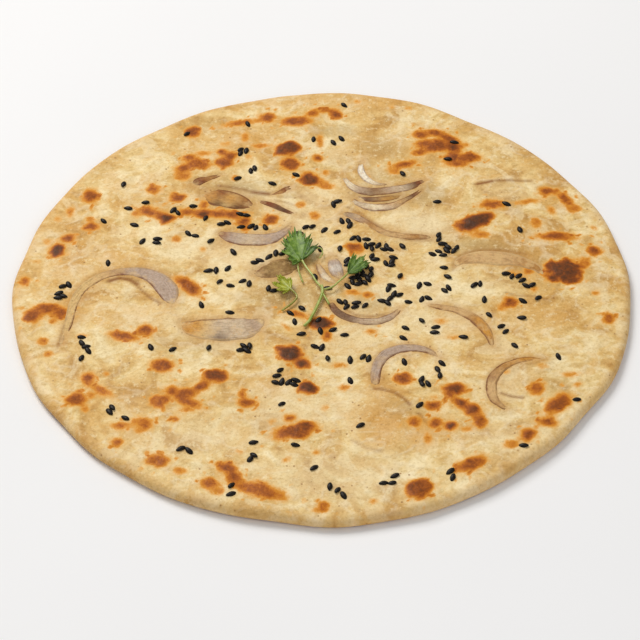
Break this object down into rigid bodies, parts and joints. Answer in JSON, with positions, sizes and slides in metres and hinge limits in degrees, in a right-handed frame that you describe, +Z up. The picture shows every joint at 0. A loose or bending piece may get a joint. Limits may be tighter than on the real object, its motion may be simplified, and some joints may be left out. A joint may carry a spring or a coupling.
{
  "type": "onion kulcha",
  "caption": "Round flat griddled bread with onion slices pressed into its browned top, black seeds and a sprig of coriander.",
  "frame": {"origin": "centre of the flat underside of the bread", "axes": "+Z up out of the browned top, +Y away from the eater along the side the picture shows as far, +X to the eater's right"},
  "size_m": [0.222, 0.2216, 0.0089],
  "materials": {
    "bread": "baked dough, soft and slightly oily, browned in spots",
    "onion": "cooked onion, moist",
    "browned_onion": "onion browned on the griddle",
    "coriander": "fresh green leaf and stalk"
  },
  "bodies": {
    "root": {"kulcha": "bread", "onion_left_crescent": "onion", "onion_left_petal": "onion", "onion_middle_crescent": "onion", "onion_centre_petal": "onion", "onion_brown_sliver": "browned_onion", "onion_sunk_petal": "onion", "onion_brown_strip_low": "browned_onion", "onion_brown_strip_high": "browned_onion", "onion_wedge_inner": "onion", "onion_wedge_middle": "onion", "onion_wedge_core": "onion", "onion_wedge_outer": "onion", "onion_upper_arc": "onion", "onion_right_petal": "onion", "onion_curl_outer": "onion", "onion_curl_core": "onion", "onion_low_crescent": "onion", "onion_grey_arch": "onion", "onion_right_arc": "onion", "onion_hook": "onion", "coriander_sprig": "coriander", "coriander_leaf": "coriander"}
  },
  "joints": []
}
